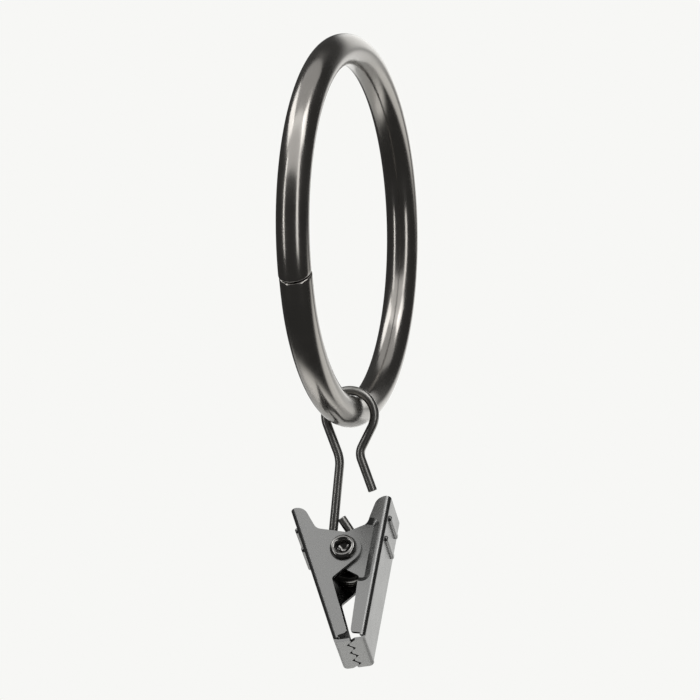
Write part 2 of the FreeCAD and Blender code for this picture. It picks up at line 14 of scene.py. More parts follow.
import bmesh
import bpy
import numpy as np
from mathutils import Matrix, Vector

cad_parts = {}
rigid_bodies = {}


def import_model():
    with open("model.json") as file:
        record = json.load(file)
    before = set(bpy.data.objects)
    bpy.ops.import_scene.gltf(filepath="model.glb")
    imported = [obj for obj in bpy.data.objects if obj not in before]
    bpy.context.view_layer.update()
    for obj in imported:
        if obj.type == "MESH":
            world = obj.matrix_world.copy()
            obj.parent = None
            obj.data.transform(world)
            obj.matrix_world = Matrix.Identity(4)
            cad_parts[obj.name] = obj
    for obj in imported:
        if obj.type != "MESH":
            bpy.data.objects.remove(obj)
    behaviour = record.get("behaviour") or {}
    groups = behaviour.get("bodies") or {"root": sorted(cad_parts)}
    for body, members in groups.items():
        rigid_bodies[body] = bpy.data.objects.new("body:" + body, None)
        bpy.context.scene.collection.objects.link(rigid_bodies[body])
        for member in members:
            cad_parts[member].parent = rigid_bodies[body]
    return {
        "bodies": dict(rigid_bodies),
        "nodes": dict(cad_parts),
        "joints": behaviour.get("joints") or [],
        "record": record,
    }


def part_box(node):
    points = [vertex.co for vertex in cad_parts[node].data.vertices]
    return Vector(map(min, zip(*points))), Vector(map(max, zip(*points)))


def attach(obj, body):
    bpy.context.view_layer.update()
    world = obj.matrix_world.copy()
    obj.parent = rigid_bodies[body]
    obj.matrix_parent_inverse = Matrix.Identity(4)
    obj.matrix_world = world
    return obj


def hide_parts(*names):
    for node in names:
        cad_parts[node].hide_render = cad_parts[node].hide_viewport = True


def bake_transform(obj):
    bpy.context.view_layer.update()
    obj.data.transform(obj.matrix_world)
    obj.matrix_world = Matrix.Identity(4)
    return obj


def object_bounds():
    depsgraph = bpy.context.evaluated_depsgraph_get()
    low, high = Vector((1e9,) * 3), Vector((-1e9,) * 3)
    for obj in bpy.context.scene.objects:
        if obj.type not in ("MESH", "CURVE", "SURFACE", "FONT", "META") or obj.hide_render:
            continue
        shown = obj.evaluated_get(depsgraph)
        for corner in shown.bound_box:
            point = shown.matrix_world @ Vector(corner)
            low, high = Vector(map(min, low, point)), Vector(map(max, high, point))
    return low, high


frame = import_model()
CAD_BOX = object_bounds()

MM = 0.001
WELD_MM = 0.001
EYE_SHIFT_MM = 0.05
LOG = logging.getLogger("curtain_ring")


def linear(hex_colour: str) -> tuple[float, float, float, float]:
    """Turn an sRGB hex colour into linear light, with the standard's own two-part curve.

    Args:
        hex_colour: six hex digits, with or without a leading hash.

    Returns:
        Red, green, blue and an alpha of one.
    """
    digits = hex_colour.lstrip("#")
    shares = np.array([int(digits[i:i + 2], 16) for i in (0, 2, 4)]) / 255
    light = np.where(shares <= 0.04045, shares / 12.92, ((shares + 0.055) / 1.055) ** 2.4)
    return float(light[0]), float(light[1]), float(light[2]), 1.0


def per_metre(feature_mm: float) -> float:
    """Pattern scale at which a noise feature is as wide as the given millimetres."""
    return 1.0 / (feature_mm * MM)


def unit(vectors: np.ndarray) -> np.ndarray:
    """Vectors divided by their own lengths, along the last axis."""
    return vectors / np.linalg.norm(vectors, axis=-1, keepdims=True)


@dataclass(frozen=True)
class Axes:
    """A local frame: an origin in metres and three unit directions in the row frame."""

    origin: np.ndarray
    across: np.ndarray
    along: np.ndarray
    up: np.ndarray

    def place(self, local_mm: np.ndarray) -> np.ndarray:
        """Carry local points into the row frame: origin + x·across + y·along + z·up.

        Args:
            local_mm: an array of points in millimetres whose last axis is x, y, z.

        Returns:
            The same points in metres in the row frame.
        """
        basis = np.stack([self.across, self.along, self.up])
        return self.origin + (local_mm * MM) @ basis


@dataclass(frozen=True)
class Rig:
    """Where the hook and the clip hang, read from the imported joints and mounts."""

    ring_radius: float
    hook: Axes
    clip: Axes

    @staticmethod
    def from_frame(loaded: dict, eye_shift: float) -> "Rig":
        """Work out the hook's and the clip's frames from the joints.

        The clip's along axis is the rivet's, its up axis is against the jaws' grip direction. The hook's
        plane is upright and turned about Z as far as the rivet's axis is.

        Args:
            eye_shift: how far the eye rides off the middle of the rivet, in millimetres.

        Returns:
            The rig with its two local frames.
        """
        joints = {joint["name"]: joint for joint in loaded["joints"]}
        mounts = {mount["name"]: mount for mount in loaded["record"]["mounts"]}
        swing = joints["clip_swing"]
        along = unit(np.array(swing["axis"], float))
        up = -unit(np.array(mounts["jaw_grip"]["axis"], float))
        pivot = np.array(swing["pos_m"], float)
        clip = Axes(pivot, unit(np.cross(along, up)), along, up)
        flat = unit(np.array([along[0], along[1], 0.0]))
        upright = np.array([0.0, 0.0, 1.0])
        hook = Axes(pivot - along * eye_shift * MM, np.cross(flat, upright), flat, upright)
        return Rig(-joints["hook_swing"]["pos_m"][2] / MM, hook, clip)


def grid_faces(rows: int, columns: int) -> np.ndarray:
    """Quads of a grid whose last column joins the first: (i, j), (i, j+1), (i+1, j+1), (i+1, j).

    Args:
        rows: rings of points, one after the other.
        columns: points round each ring.

    Returns:
        An array of four corner indices per face.
    """
    i, j = np.meshgrid(np.arange(rows - 1), np.arange(columns), indexing="ij")
    i, j = i.ravel() * columns, j.ravel()
    beside = (j + 1) % columns
    return np.stack([i + j, i + beside, i + columns + beside, i + columns + j], axis=1)


def grid_piece(name: str, points: np.ndarray, lengths: Optional[np.ndarray] = None) -> bpy.types.Object:
    """Make a smooth piece from rings of points, with its poles merged and its faces pointing outwards.

    Args:
        name: the piece's name.
        points: rows × columns × 3, in metres in the row frame.
        lengths: distance of each row along the piece in millimetres, kept in the piece's own UV map.

    Returns:
        The new object, with its place in its mesh.
    """
    rows, columns, _ = points.shape
    quads = grid_faces(rows, columns)
    mesh = bpy.data.meshes.new(name)
    mesh.from_pydata(points.reshape(-1, 3).tolist(), [], quads.tolist())
    if lengths is not None:
        row, column = quads // columns, quads % columns
        # On the faces that close the ring, the first column counts as the one after the last
        lap = np.array([0, 1, 1, 0]) * (column[:, [0]] == columns - 1)
        u = (column + lap * (column == 0) * columns) / columns
        layer = mesh.uv_layers.new(name="wire_run")
        layer.data.foreach_set("uv", np.stack([u, lengths[row]], axis=-1).ravel())
    shell = bmesh.new()
    shell.from_mesh(mesh)
    bmesh.ops.remove_doubles(shell, verts=shell.verts, dist=WELD_MM * MM)
    bmesh.ops.recalc_face_normals(shell, faces=shell.faces)
    shell.to_mesh(mesh)
    shell.free()
    mesh.shade_smooth()
    piece = bpy.data.objects.new(name, mesh)
    bpy.context.scene.collection.objects.link(piece)
    return piece


def carried_tube(centres: np.ndarray, radii: np.ndarray, side: np.ndarray, sides: int) -> np.ndarray:
    """Carry a circle along a path: centre + r·(cos a · n + sin a · b), with n square to the path.

    Args:
        centres: n × 3 points of the path.
        radii: n radii, zero where the tube closes in a pole.
        side: a direction, or one for each point, that is never along the path.
        sides: points round the circle.

    Returns:
        n × sides × 3 points.
    """
    heading = unit(np.gradient(centres, axis=0))
    binormal = unit(np.cross(heading, side))
    normal = np.cross(binormal, heading)
    angle = np.linspace(0, 2 * np.pi, sides, endpoint=False)[None, :, None]
    ring = np.cos(angle) * normal[:, None, :] + np.sin(angle) * binormal[:, None, :]
    return centres[:, None, :] + radii[:, None, None] * ring


def turned_surface(profile: np.ndarray, sides: int) -> np.ndarray:
    """Turn a profile of (radius, height) about the along axis: (r·cos a, h, r·sin a).

    Args:
        profile: n × 2 radii and heights in millimetres.
        sides: points round the axis.

    Returns:
        n × sides × 3 local points in millimetres.
    """
    angle = np.linspace(0, 2 * np.pi, sides, endpoint=False)[None, :]
    radius, height = profile[:, [0]], profile[:, [1]]
    return np.stack([radius * np.cos(angle), height + 0 * angle, radius * np.sin(angle)], axis=-1)


def arc_points(centre: Sequence[float], radius: float, start: float, end: float, count: int) -> np.ndarray:
    """Points of an arc about a centre, from one angle in degrees to the other."""
    angle = np.radians(np.linspace(start, end, count))
    return np.stack([centre[0] + radius * np.cos(angle), centre[1] + radius * np.sin(angle)], axis=1)


def tangent_path(stops: Sequence[tuple[float, float, float]], step: float) -> np.ndarray:
    """Straight runs joined by arcs, in a plane: each run is the common tangent of two circles.

    Args:
        stops: (across, up, radius) of each circle in millimetres. The path turns left round a positive
            radius, right round a negative one, and a radius of zero is an end of the path.
        step: spacing of the points along the path.

    Returns:
        n × 2 evenly laid points.
    """
    centres = np.array([stop[:2] for stop in stops])
    radii = np.array([stop[2] for stop in stops])
    between = np.diff(centres, axis=0)
    reach = np.linalg.norm(between, axis=1)
    heading = np.arctan2(between[:, 1], between[:, 0]) + np.arcsin((radii[:-1] - radii[1:]) / reach)
    outward = np.stack([np.sin(heading), -np.cos(heading)], axis=1)
    leave = centres[:-1] + outward * radii[:-1, None]
    arrive = centres[1:] + outward * radii[1:, None]
    runs = []
    for index in range(len(stops) - 1):
        count = max(2, int(np.linalg.norm(arrive[index] - leave[index]) / step))
        runs.append(np.linspace(leave[index], arrive[index], count, endpoint=False))
        if index + 1 < len(stops) - 1:
            turn = heading[index + 1] - heading[index]
            sign = math.copysign(1.0, radii[index + 1])
            turn = sign * ((sign * turn) % (2 * math.pi))
            first = math.degrees(heading[index]) - 90 * sign
            count = max(3, int(abs(turn * radii[index + 1]) / step))
            runs.append(arc_points(centres[index + 1], abs(radii[index + 1]), first,
                                   first + math.degrees(turn), count)[:-1])
    runs.append(arrive[-1:])
    return np.concatenate(runs)


# Finishes

def add_node(tree: bpy.types.NodeTree, kind: str, settings: Optional[dict] = None,
             links: Optional[dict] = None) -> bpy.types.Node:
    """Add one shader node, set its properties and inputs, and link outputs of other nodes into it.

    Args:
        tree: the node tree it goes in.
        kind: Blender's name for the node type.
        settings: property or input names with their values.
        links: input names with the sockets that feed them.

    Returns:
        The new node.
    """
    node = tree.nodes.new(kind)
    for key, setting in (settings or {}).items():
        if hasattr(node, key) and key not in node.inputs:
            setattr(node, key, setting)
        else:
            node.inputs[key].default_value = setting
    for key, socket in (links or {}).items():
        tree.links.new(socket, node.inputs[key])
    return node


class Grain(Enum):
    """How a surface's fine marks lie."""

    SPRAYED = "sprayed"
    DRAWN = "drawn"
    TUMBLED = "tumbled"


@dataclass(frozen=True)
class MetalFinish:
    """A metal surface with its colour drift, its gloss drift and its fine relief.

    The base colour and the roughness drift over patches of a few millimetres, and a finer noise gives the
    relief that breaks up the highlights.
    """

    name: str
    slot: str
    shade: str
    worn_shade: str
    metallic: float
    roughness: float
    roughness_drift: float
    patch_mm: float
    relief_mm: float
    relief_height_mm: float
    relief_strength: float
    grain: Grain
    patch_detail: float = 4.0
    patch_contrast: float = 0.6
    fine_detail: float = 3.0
    fine_contrast: float = 0.55
    patch_low: float = 0.35
    patch_high: float = 0.65
    lines_round_wire: float = 26.0
    line_run_mm: float = 9.0
    tumbled_stretch: float = 0.45

    def build(self) -> bpy.types.Material:
        """Make the material's node tree.

        Returns:
            The finished material.
        """
        material = bpy.data.materials.new(self.name)
        material.use_nodes = True
        tree = material.node_tree
        tree.nodes.clear()
        coordinates = add_node(tree, "ShaderNodeTexCoord")
        place = self.pattern_place(tree, coordinates)
        patches = add_node(tree, "ShaderNodeTexNoise",
                           {"Scale": per_metre(self.patch_mm), "Detail": self.patch_detail,
                            "Roughness": self.patch_contrast},
                           {"Vector": coordinates.outputs["Object"]})
        fine = add_node(tree, "ShaderNodeTexNoise",
                        {"Scale": 1.0, "Detail": self.fine_detail, "Roughness": self.fine_contrast},
                        {"Vector": place})
        drift = add_node(tree, "ShaderNodeMapRange",
                         {"From Min": self.patch_low, "From Max": self.patch_high,
                          "To Min": self.roughness - self.roughness_drift,
                          "To Max": self.roughness + self.roughness_drift},
                         {"Value": patches.outputs["Fac"]})
        tone = self.tone(tree, patches)
        relief = add_node(tree, "ShaderNodeBump",
                          {"Strength": self.relief_strength, "Distance": self.relief_height_mm * MM},
                          {"Height": fine.outputs["Fac"]})
        shader = add_node(tree, "ShaderNodeBsdfPrincipled",
                          {"Metallic": self.metallic},
                          {"Base Color": tone, "Roughness": drift.outputs["Result"],
                           "Normal": relief.outputs["Normal"]})
        add_node(tree, "ShaderNodeOutputMaterial", links={"Surface": shader.outputs["BSDF"]})
        return material

    def pattern_place(self, tree: bpy.types.NodeTree, coordinates: bpy.types.Node) -> bpy.types.NodeSocket:
        """Coordinates of the fine relief: lines along a drawn wire, marks drawn out upwards where tumbled.

        Args:
            tree: the material's node tree.
            coordinates: its Texture Coordinate node.

        Returns:
            The socket that gives the coordinates in features.
        """
        if self.grain is Grain.DRAWN:
            stretch = add_node(tree, "ShaderNodeMapping",
                               {"Scale": (self.lines_round_wire, 1.0 / self.line_run_mm, 1.0)},
                               {"Vector": coordinates.outputs["UV"]})
            return stretch.outputs["Vector"]
        scale = per_metre(self.relief_mm)
        stretched = scale * self.tumbled_stretch if self.grain is Grain.TUMBLED else scale
        stretch = add_node(tree, "ShaderNodeMapping", {"Scale": (scale, scale, stretched)},
                           {"Vector": coordinates.outputs["Object"]})
        return stretch.outputs["Vector"]

    def tone(self, tree: bpy.types.NodeTree, patches: bpy.types.Node) -> bpy.types.NodeSocket:
        """Colour of the surface: two close shades, mixed by patches.

        Args:
            tree: the material's node tree.
            patches: the broad noise.

        Returns:
            The socket with the colour.
        """
        base = add_node(tree, "ShaderNodeMix", {"data_type": "RGBA"})
        tree.links.new(patches.outputs["Fac"], base.inputs[0])
        colours = [socket for socket in base.inputs if socket.type == "RGBA"]
        for socket, shade in zip(colours, (self.shade, self.worn_shade)):
            socket.default_value = linear(shade)
        return next(socket for socket in base.outputs if socket.type == "RGBA")


FINISHES = {
    # Baked black-brown enamel over steel: smooth and glossy, near black in a dark room, with long highlights
    "ring": MetalFinish("baked_black_enamel_steel", "ring_enamel", "#827f7b", "#898682", 0.97, 0.2, 0.03,
                        6.0, 0.9, 0.004, 0.06, Grain.SPRAYED),
    # Drawn steel wire, blackened: fine lines run along it and streak the highlight
    "hook": MetalFinish("blackened_drawn_wire", "hook_wire", "#797875", "#81807d", 0.96, 0.33, 0.04,
                        2.0, 0.3, 0.006, 0.2, Grain.DRAWN),
    # Pressed sheet steel in black nickel: a satin grey that takes the tone of what is round it
    "jaws": MetalFinish("black_nickel_pressed_steel", "jaw_paint", "#686867", "#6f6f6e", 0.96, 0.27, 0.02,
                        3.0, 1.2, 0.003, 0.04, Grain.TUMBLED),
    # Turned rivet in black nickel: glossy, so the rolled rim shows dark and bright circles
    "rivet": MetalFinish("black_nickel_turned_steel", "rivet_steel", "#6c6b69", "#737270", 0.96, 0.14, 0.03,
                         2.0, 0.8, 0.002, 0.06, Grain.TUMBLED),
    # Bare spring wire, drawn and oil hardened: grey with a brown cast
    "spring": MetalFinish("hardened_spring_wire", "spring_wire", "#5c5a56", "#6a6862", 1.0, 0.34, 0.05,
                          2.0, 0.2, 0.003, 0.25, Grain.DRAWN),
}


# The sub-assemblies

@dataclass
class SteelRing:
    """The ring: a round rod bent once round the curtain rod, its ends nearly touching at the seam."""

    seam_angle: float = 16.2
    seam_gap: float = 0.2
    end_round: float = 0.25
    lap_step: float = 0.28
    lap_reach: float = 5.0
    cut_slant: float = 0.75
    slant_reach: float = 3.5
    sides: int = 64
    steps: int = 420
    end_steps: int = 9

    def surface(self, radius: float, rod_radius: float) -> tuple[np.ndarray, np.ndarray]:
        """Points of the bent rod.

        The rod's middle runs on a circle from one end of the seam to the other. Its radius falls off at
        each end as a quarter circle: rod - round + √(round² - inset²). The shear cut is slanted, so near
        the seam each point moves along the rod by slant · cos(around). The lower end sits a little inwards,
        by step · exp(-(run / reach)²).

        Args:
            radius: radius of the ring at the rod's middle, in millimetres.
            rod_radius: radius of the rod, in millimetres.

        Returns:
            The grid of points in metres, and the distance of each row along the rod in millimetres.
        """
        length = 2 * math.pi * radius - self.seam_gap
        ease = self.end_round * (1 - np.cos(np.linspace(0, np.pi / 2, self.end_steps)))
        run = np.concatenate([ease, np.linspace(self.end_round, length - self.end_round, self.steps)[1:-1],
                              length - ease[::-1]])
        inset = np.maximum(self.end_round - np.minimum(run, length - run), 0)
        rod = rod_radius - self.end_round + np.sqrt(np.maximum(self.end_round ** 2 - inset ** 2, 0))
        run = np.concatenate([run[:1], run, run[-1:]])
        rod = np.concatenate([[0.0], rod, [0.0]])
        start = math.radians(180 + self.seam_angle) + self.seam_gap / 2 / radius
        inwards = self.lap_step * np.exp(-(run / self.lap_reach) ** 2)
        near_cut = np.exp(-(np.minimum(run, length - run) / self.slant_reach) ** 2)
        inwards, near_cut, rod = inwards[:, None], near_cut[:, None], rod[:, None]
        around = np.linspace(0, 2 * np.pi, self.sides, endpoint=False)[None, :]
        slanted = self.cut_slant * near_cut * rod / rod_radius * np.cos(around)
        angle = start + (run[:, None] + slanted) / radius
        reach = radius - inwards + rod * np.cos(around)
        points = np.stack([rod * np.sin(around), reach * np.cos(angle), reach * np.sin(angle)], axis=-1)
        return points * MM, run

    def make(self, rig: Rig) -> list[bpy.types.Object]:
        """Build the ring and let it stand for the CAD ring.

        Args:
            rig: the local frames.

        Returns:
            The pieces made.
        """
        low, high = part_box("ring")
        points, run = self.surface(rig.ring_radius, (high.x - low.x) / 2 / MM)
        piece = grid_piece("bent_ring", points, lengths=run)
        dress(piece, "ring", "ring", "ring")
        return [piece]


@dataclass
class WireHook:
    """The hook: one wire in one upright plane, from its tail over the ring to the eye and its stub."""

    wire: float = 1.4
    ring_rod: float = 5.0
    loop_play: float = 0.65
    seat_gap: float = 0.05
    drop: float = 23.2
    side: float = 0.25
    neck_gap: float = 1.86
    tail_neck_rise: float = 16.7
    leg_neck_rise: float = 15.15
    neck_bend: float = 2.4
    leg_bend: float = 5.2
    tail_rise: float = 10.95
    tail_side: float = 3.85
    eye_radius: float = 2.8
    eye_end: float = 34.4
    stub_reach: float = 6.0
    rivet_shank: float = 2.8
    eye_gap: float = 0.08
    clip_tilt: float = 31.0
    cut_round: float = 0.12
    cut_steps: int = 5
    sides: int = 32
    step: float = 0.12

    def path(self) -> np.ndarray:
        """Middle line of the wire: arcs about the stops below, joined by the lines that touch both.

        The loop runs round the ring's rod, and the eye round the rivet, a small gap below its shank.

        Returns:
            n × 2 points (across, up) in the hook's plane, in millimetres, from the tail to the stub.
        """
        neck_half = self.neck_gap / 2 + self.wire / 2
        loop = (self.side, self.drop - self.loop_play + self.seat_gap,
                self.ring_rod / 2 + self.loop_play + self.wire / 2)
        hang = self.rivet_shank / 2 + self.wire / 2 + self.eye_gap
        eye_rise = self.eye_radius - hang / math.cos(math.radians(self.clip_tilt))
        end = math.radians(self.eye_end)
        stub = (self.eye_radius * math.cos(end) - self.stub_reach * math.sin(end),
                eye_rise + self.eye_radius * math.sin(end) + self.stub_reach * math.cos(end), 0.0)
        return tangent_path([
            (self.tail_side, self.tail_rise, 0.0),
            (self.side + neck_half + self.neck_bend, self.tail_neck_rise, -self.neck_bend),
            loop,
            (self.side - neck_half - self.leg_bend, self.leg_neck_rise, -self.leg_bend),
            (0.0, eye_rise, self.eye_radius),
            stub,
        ], self.step)

    def surface(self) -> tuple[np.ndarray, np.ndarray]:
        """The bent wire as a grid, with sheared ends whose edge is rounded a little.

        Returns:
            Local points in millimetres and the distance of each row along the wire.
        """
        line = self.path()
        run = np.concatenate([[0.0], np.cumsum(np.linalg.norm(np.diff(line, axis=0), axis=1))])
        length = run[-1]
        ease = self.cut_round * (1 - np.cos(np.linspace(0, np.pi / 2, self.cut_steps)))
        inner = run[(run > self.cut_round) & (run < length - self.cut_round)]
        along = np.concatenate([ease, inner, length - ease[::-1]])
        inset = np.maximum(self.cut_round - np.minimum(along, length - along), 0)
        radius = self.wire / 2 - self.cut_round + np.sqrt(np.maximum(self.cut_round ** 2 - inset ** 2, 0))
        across, up = np.interp(along, run, line[:, 0]), np.interp(along, run, line[:, 1])
        centres = np.stack([across, 0 * across, up], axis=1)
        rings = carried_tube(centres, radius, np.array([0.0, 1.0, 0.0]), self.sides)
        pole = np.repeat(centres[[0, -1]][:, None, :], self.sides, axis=1)
        rings = np.concatenate([pole[:1], rings, pole[1:]])
        return rings, np.concatenate([along[:1], along, along[-1:]])

    def make(self, rig: Rig) -> list[bpy.types.Object]:
        """Build the wire and let it stand for the CAD hook.

        Args:
            rig: the local frames.

        Returns:
            The pieces made.
        """
        rings, run = self.surface()
        piece = grid_piece("bent_wire", rig.hook.place(rings), lengths=run)
        dress(piece, "hook", "hook", "hook")
        return [piece]


@dataclass
class SprungClip:
    """The clip: two pressed jaws, the rivet that joins them and the spring between the thumb plates."""

    jaw_width: float = 9.2
    shank: float = 2.8
    head: float = 4.1
    head_rise: float = 1.15
    head_rim: float = 0.15
    curl: float = 4.25
    curl_rise: float = 0.85
    bore: float = 2.0
    bore_depth: float = 1.25
    drill_angle: float = 59.0
    spring_share: float = 0.44
    spring_play: float = 0.1
    eye_radius: float = 2.8
    hook_wire: float = 1.4
    clip_tilt: float = 31.0
    sheet: float = 0.5
    nest_gap: float = 0.1
    spring_radius: float = 2.35
    spring_turns: int = 1
    coil_gap: float = 0.05
    spring_leg_rise: float = 7.0
    spring_leg_gap: float = 0.05
    jaw_half_angle: float = 13.0
    back_inside: float = 5.35
    edge_round: float = 0.07
    press_round: float = 0.2
    press_slope: float = 32.0
    slope_spread: float = 3.0
    crease_angle: float = 26.0
    flat_angle: float = 0.5
    edge_segments: int = 4
    bore_floor_share: float = 0.98
    curl_root_share: float = 0.97
    curl_air: float = 0.02
    sides: int = 72
    rim_steps: int = 25
    dome_steps: int = 17
    turn_steps: int = 40
    leg_steps: int = 12
    spring_sides: int = 20

    def rivet_profile(self) -> np.ndarray:
        """Half section of the rivet: bore, rolled rim, shank and dome, as (radius, height) in millimetres.

        The rim is half an ellipse from the bore to the curl's outside. The dome is a cap of a sphere whose
        radius is (head² + rise²) / (2 · rise).

        Returns:
            n × 2 radii and heights, from the bore's point to the dome's top.
        """
        near, far = -self.jaw_width / 2, self.jaw_width / 2
        bottom = near - self.curl_rise
        bore, curl, head = self.bore / 2, self.curl / 2, self.head / 2
        rim_middle, rim_half = (bore + curl) / 2, (curl - bore) / 2
        roll = np.radians(np.linspace(180, 360, self.rim_steps))
        rim = np.stack([rim_middle + rim_half * np.cos(roll), near + self.curl_rise * np.sin(roll)], axis=1)
        rise = self.head_rise - self.head_rim
        dome_radius = (head ** 2 + rise ** 2) / (2 * rise)
        spread = np.linspace(math.asin(head / dome_radius), 0, self.dome_steps)
        crown = far + self.head_rise - dome_radius
        dome = np.stack([dome_radius * np.sin(spread), crown + dome_radius * np.cos(spread)], axis=1)
        floor = bottom + self.bore_depth
        point = bore / math.tan(math.radians(self.drill_angle))
        root = near + self.curl_air
        return np.concatenate([
            [(0.0, floor + point), (bore / 2, floor + point / 2), (bore * self.bore_floor_share, floor)],
            rim, [(curl * self.curl_root_share, root), (self.shank / 2, root), (self.shank / 2, far)],
            [(head, far)], dome])

    def make_rivet(self, rig: Rig) -> bpy.types.Object:
        """Turn the rivet's profile about its axis.

        Args:
            rig: the local frames.

        Returns:
            The rivet.
        """
        points = turned_surface(self.rivet_profile(), self.sides)
        piece = grid_piece("rolled_rivet", rig.clip.place(points))
        crease(piece, self.crease_angle)
        dress(piece, "rivet", "rivet", "clip")
        return piece

    def make_spring(self, rig: Rig) -> bpy.types.Object:
        """Wind the spring: a helix about the rivet, r·(cos a, ·, sin a), with a tangent leg each side.

        Args:
            rig: the local frames.

        Returns:
            The spring.
        """
        ear_inside = self.jaw_width / 2 - 2 * self.sheet - self.nest_gap
        eye_reach = self.eye_radius * math.sin(math.radians(self.clip_tilt)) + self.hook_wire / 2
        wire = self.spring_share * (ear_inside - eye_reach)
        far_turn = ear_inside - self.spring_play - wire / 2
        radius, pitch = self.spring_radius, wire + self.coil_gap
        tilt = math.radians(self.jaw_half_angle)
        side = self.back_inside - wire / 2 - self.spring_leg_gap
        end = np.array([side * math.cos(tilt) + self.spring_leg_rise * math.sin(tilt),
                        self.spring_leg_rise * math.cos(tilt) - side * math.sin(tilt)])
        reach = np.linalg.norm(end)
        leg = math.sqrt(reach ** 2 - radius ** 2)
        lean = math.atan2(end[1], end[0])
        last = lean - math.acos(radius / reach)
        first = math.pi - last
        sweep = (last - first) % (2 * math.pi) + 2 * math.pi * self.spring_turns
        angle = np.linspace(first, first + sweep, self.turn_steps * (self.spring_turns + 1))
        coil = np.stack([radius * np.cos(angle), far_turn - pitch * (angle - first) / (2 * math.pi),
                         radius * np.sin(angle)], axis=1)
        heading = np.array([-np.sin([first, first + sweep]), [0, 0], np.cos([first, first + sweep])]).T
        shares = np.linspace(1, 0, self.leg_steps, endpoint=False)[:, None]
        entry = coil[0] - heading[0] * leg * shares
        leave = coil[-1] + heading[1] * leg * shares[::-1]
        centres = np.concatenate([entry, coil, leave])
        radii = np.full(len(centres), wire / 2)
        rings = carried_tube(centres, radii, np.array([0.0, 1.0, 0.0]), self.spring_sides)
        poles = np.repeat(centres[[0, -1]][:, None, :], self.spring_sides, axis=1)
        rings = np.concatenate([poles[:1], rings, poles[1:]])
        run = np.concatenate([[0.0], np.cumsum(np.linalg.norm(np.diff(centres, axis=0), axis=1))])
        run = np.concatenate([run[:1], run, run[-1:]])
        piece = grid_piece("wound_spring", rig.clip.place(rings), lengths=run)
        start, stop = rig.clip.place(np.array([[0, far_turn - wire / 2, 0], [0, coil[-1][1] + wire / 2, 0]]))
        paint(piece, "spring")
        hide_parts("spring")
        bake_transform(piece)
        return piece

    def make_jaw(self, node: str, body: str) -> bpy.types.Object:
        """Dress one pressed jaw: its edges get the small rounding that pressing and plating leave.

        Args:
            node: the jaw's CAD node.
            body: the body that it moves with.

        Returns:
            The jaw.
        """
        source = frame["nodes"][node]
        piece = bpy.data.objects.new(f"pressed_{node}", source.data.copy())
        bpy.context.scene.collection.objects.link(piece)
        shell = bmesh.new()
        shell.from_mesh(piece.data)
        bmesh.ops.remove_doubles(shell, verts=shell.verts, dist=WELD_MM * MM)
        bmesh.ops.dissolve_limit(shell, angle_limit=math.radians(self.flat_angle),
                                 verts=shell.verts, edges=shell.edges)
        weight = shell.edges.layers.float.new("bevel_weight_edge")
        for edge in shell.edges:
            turn = math.degrees(edge.calc_face_angle(0.0))
            if turn > self.crease_angle:
                pressed = abs(turn - self.press_slope) < self.slope_spread
                edge[weight] = 1.0 if pressed else self.edge_round / self.press_round
        shell.to_mesh(piece.data)
        shell.free()
        crease(piece, self.crease_angle)
        rounding = piece.modifiers.new("pressed_edges", "BEVEL")
        rounding.width = self.press_round * MM
        rounding.segments = self.edge_segments
        rounding.limit_method = "WEIGHT"
        shading = piece.modifiers.new("flat_faces_stay_flat", "WEIGHTED_NORMAL")
        shading.keep_sharp = True
        dress(piece, "jaws", node, body)
        return piece

    def make(self, rig: Rig) -> list[bpy.types.Object]:
        """Build the whole clip.

        Args:
            rig: the local frames.

        Returns:
            The pieces made.
        """
        return [self.make_jaw("outer_jaw", "clip"), self.make_jaw("inner_jaw", "inner_jaw"),
                self.make_rivet(rig), self.make_spring(rig)]


def crease(piece: bpy.types.Object, angle: float) -> None:
    """Shade a piece smooth but keep its edges sharper than an angle.

    Args:
        piece: the piece.
        angle: the angle in degrees from which an edge stays sharp.
    """
    shell = bmesh.new()
    shell.from_mesh(piece.data)
    limit = math.radians(angle)
    for face in shell.faces:
        face.smooth = True
    for edge in shell.edges:
        edge.smooth = len(edge.link_faces) == 2 and edge.calc_face_angle(0.0) < limit
    shell.to_mesh(piece.data)
    shell.free()


def paint(piece: bpy.types.Object, finish: str) -> None:
    """Give a piece one finish.

    Args:
        piece: the object to paint.
        finish: a key of FINISHES.
    """
    material = bpy.data.materials.get(FINISHES[finish].name) or FINISHES[finish].build()
    piece.data.materials.clear()
    piece.data.materials.append(material)


def dress(piece: bpy.types.Object, finish: str, node: str, body: str) -> None:
    """Finish a piece, let it stand for a CAD node and let it move with a body.

    Args:
        piece: the piece.
        finish: a name in FINISHES.
        node: the CAD node that it stands for.
        body: the body that it rides on.
    """
    paint(piece, finish)
    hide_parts(node)
    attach(piece, body)


@dataclass(frozen=True)
class Softbox:
    """A soft lamp that looks at the object from a direction."""

    name: str
    azimuth: float
    elevation: float
    distance: float
    width: float
    height: float
    power: float

    def build(self, target: Vector) -> bpy.types.Object:
        """Place the lamp.

        Args:
            target: the point it looks at.

        Returns:
            The lamp's object.
        """
        lamp = bpy.data.lights.new(self.name, "AREA")
        lamp.shape = "RECTANGLE"
        lamp.size, lamp.size_y = self.width, self.height
        lamp.energy = self.power
        item = bpy.data.objects.new(self.name, lamp)
        item.location = target + direction(self.azimuth, self.elevation) * self.distance
        item.rotation_euler = (target - item.location).to_track_quat("-Z", "Y").to_euler()
        bpy.context.scene.collection.objects.link(item)
        return item


def direction(azimuth: float, elevation: float) -> Vector:
    """Unit vector from the object towards a viewer, azimuth from -Y towards +X, in degrees."""
    turn, rise = math.radians(azimuth), math.radians(elevation)
    return Vector((math.sin(turn) * math.cos(rise), -math.cos(turn) * math.cos(rise), math.sin(rise)))


